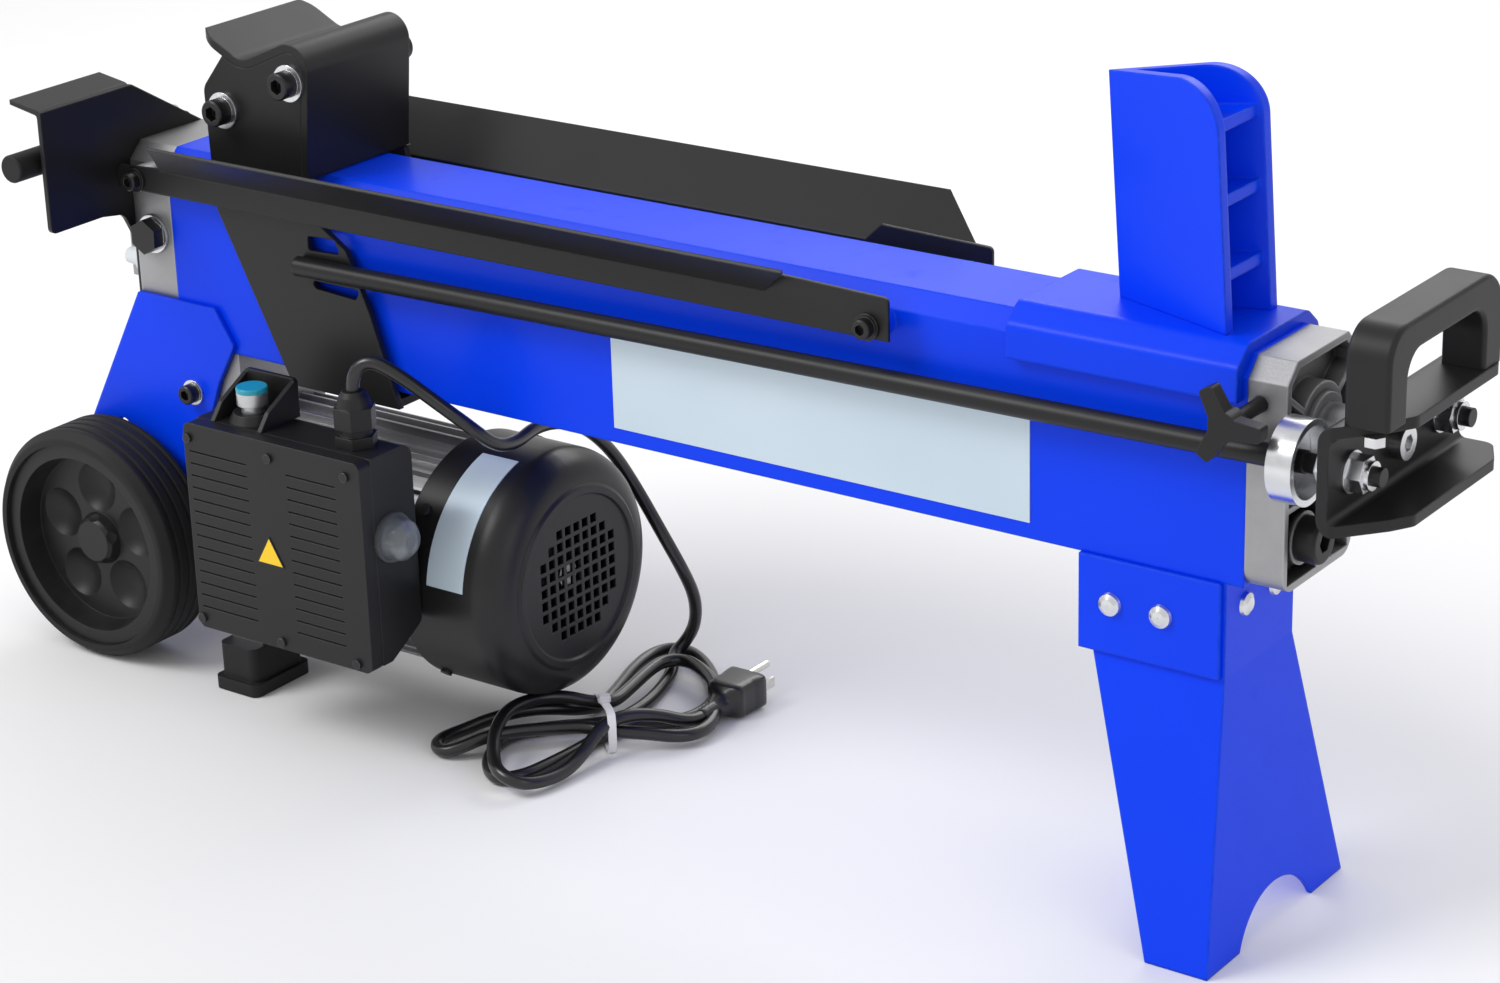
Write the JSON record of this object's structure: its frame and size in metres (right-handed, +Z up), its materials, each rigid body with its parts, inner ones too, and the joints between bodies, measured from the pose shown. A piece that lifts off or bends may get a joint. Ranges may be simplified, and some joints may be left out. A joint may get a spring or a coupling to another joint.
{
  "type": "log splitter",
  "caption": "Electric hydraulic log splitter: box beam with fixed wedge, pull rods and sliding pusher, motor and pump below, wheels and folded front leg.",
  "frame": {"origin": "middle of the machine's plan without its cord, on the floor", "axes": "+X along the beam from the wheels to the carrying handle, +Z up, the switch box on the -Y side"},
  "size_m": [0.957, 0.2397, 0.4583],
  "materials": {
    "blue_paint": "gloss powder coat",
    "cast_aluminium": "sand-cast, brushed faces",
    "honed_steel": "ground",
    "black_oxide": "black oxide, satin",
    "black_powder": "satin powder coat",
    "zinc_steel": "bright zinc",
    "motor_aluminium": "extruded fins",
    "black_enamel": "satin enamel",
    "black_rubber": "matt",
    "black_plastic": "fine moulded grain",
    "clear_boot": "clear moulded",
    "white_cap": "gloss",
    "plate_silver": "printed film, no lettering",
    "cast_iron_grey": "machined",
    "button_teal": "gloss cap on a silver collar",
    "reset_black": "satin",
    "wheel_plastic": "moulded",
    "tyre_rubber": "matt tread",
    "cord_rubber": "smooth vinyl jacket",
    "white_tie": "nylon",
    "plated_brass": "nickel plated"
  },
  "bodies": {
    "root": {"beam": "blue_paint", "rear_cover": "cast_aluminium", "front_cover": "cast_aluminium", "cylinder_tube": "honed_steel", "rod_bush": "cast_aluminium", "cover_bolts": "black_oxide", "wedge": "blue_paint", "wedge_saddle": "blue_paint", "side_rails": "black_powder", "socket_bolts": "black_oxide", "wheel_brackets": "blue_paint", "axle": "zinc_steel", "leg": "blue_paint", "leg_collar": "blue_paint", "leg_bolts": "zinc_steel", "motor_housing": "motor_aluminium", "fan_cover": "black_enamel", "housing_screws": "zinc_steel", "motor_foot": "black_rubber", "foot_neck": "zinc_steel", "pump_body": "cast_aluminium", "switch_box": "black_plastic", "box_cover": "black_plastic", "button_guard": "black_plastic", "reset_boot": "clear_boot", "cord_gland": "black_plastic", "lever_guard": "black_powder", "valve_block": "cast_aluminium", "relief_cap": "white_cap", "labels": "plate_silver", "power_cord": "cord_rubber", "cord_hank": "cord_rubber", "cord_tie": "white_tie", "plug": "cord_rubber", "plug_pins": "plated_brass"},
    "ram": {"pusher": "black_powder", "carriage": "black_powder", "pusher_bolts": "black_oxide", "pull_rods": "black_powder", "stop_collar": "zinc_steel", "yoke": "black_powder", "yoke_fasteners": "zinc_steel", "handle": "black_plastic", "piston_rod": "honed_steel", "piston": "cast_iron_grey"},
    "lever": {"control_lever": "zinc_steel", "lever_grip": "black_rubber"},
    "spool": {"valve_spool": "honed_steel"},
    "button": {"switch_button": "button_teal"},
    "reset": {"reset_button": "reset_black"},
    "near_roller": {"near_wheel": "wheel_plastic", "near_tyre": "tyre_rubber"},
    "far_roller": {"far_wheel": "wheel_plastic", "far_tyre": "tyre_rubber"},
    "rotating": {"rotor": "honed_steel", "cooling_fan": "black_plastic", "drive_gear": "honed_steel"},
    "idler": {"driven_gear": "honed_steel"},
    "knob": {"bleed_knob": "black_plastic"},
    "dip": {"dipstick": "black_plastic"}
  },
  "joints": [
    {"name": "ram_slide", "type": "slide", "parent": "root", "child": "ram", "axis": [1, 0, 0], "range_m": [0, 0.375]},
    {"name": "lever_press", "type": "hinge", "parent": "root", "child": "lever", "pos_m": [-0.3985, 0.0298, 0.328], "axis": [1, 0, 0], "range_deg": [0, 15], "stiffness_Nm_per_rad": 1.5, "springref_deg": -20.05},
    {"name": "spool_travel", "type": "slide", "parent": "root", "child": "spool", "axis": [0, 0, 1], "range_m": [-0.0046, 0]},
    {"name": "button_press", "type": "slide", "parent": "root", "child": "button", "axis": [0, 0, -1], "range_m": [0, 0.004], "stiffness_N_per_m": 400, "springref_m": -0.003},
    {"name": "reset_press", "type": "slide", "parent": "root", "child": "reset", "axis": [-1, 0, 0], "range_m": [0, 0.0025], "stiffness_N_per_m": 400, "springref_m": -0.002},
    {"name": "near_wheel_roll", "type": "hinge", "parent": "root", "child": "near_roller", "pos_m": [-0.4035, 0.0178, 0.075], "axis": [0, 1, 0], "continuous": true},
    {"name": "far_wheel_roll", "type": "hinge", "parent": "root", "child": "far_roller", "pos_m": [-0.4035, 0.0178, 0.075], "axis": [0, 1, 0], "continuous": true},
    {"name": "motor_spin", "type": "hinge", "parent": "root", "child": "rotating", "pos_m": [-0.2135, 0.0178, 0.096], "axis": [1, 0, 0], "continuous": true},
    {"name": "idler_spin", "type": "hinge", "parent": "root", "child": "idler", "pos_m": [-0.3335, 0.0178, 0.126], "axis": [1, 0, 0], "continuous": true},
    {"name": "bleed_turn", "type": "hinge", "parent": "root", "child": "knob", "pos_m": [0.3935, -0.0422, 0.305], "axis": [0, 1, 0], "range_deg": [0, 720]},
    {"name": "dipstick_pull", "type": "slide", "parent": "root", "child": "dip", "axis": [1, 0, 0], "range_m": [0, 0.16]}
  ],
  "couplings": [
    {"joint": "spool_travel", "follows": "lever_press", "m_per_rad": -0.0165},
    {"joint": "idler_spin", "follows": "motor_spin", "ratio": -1}
  ]
}
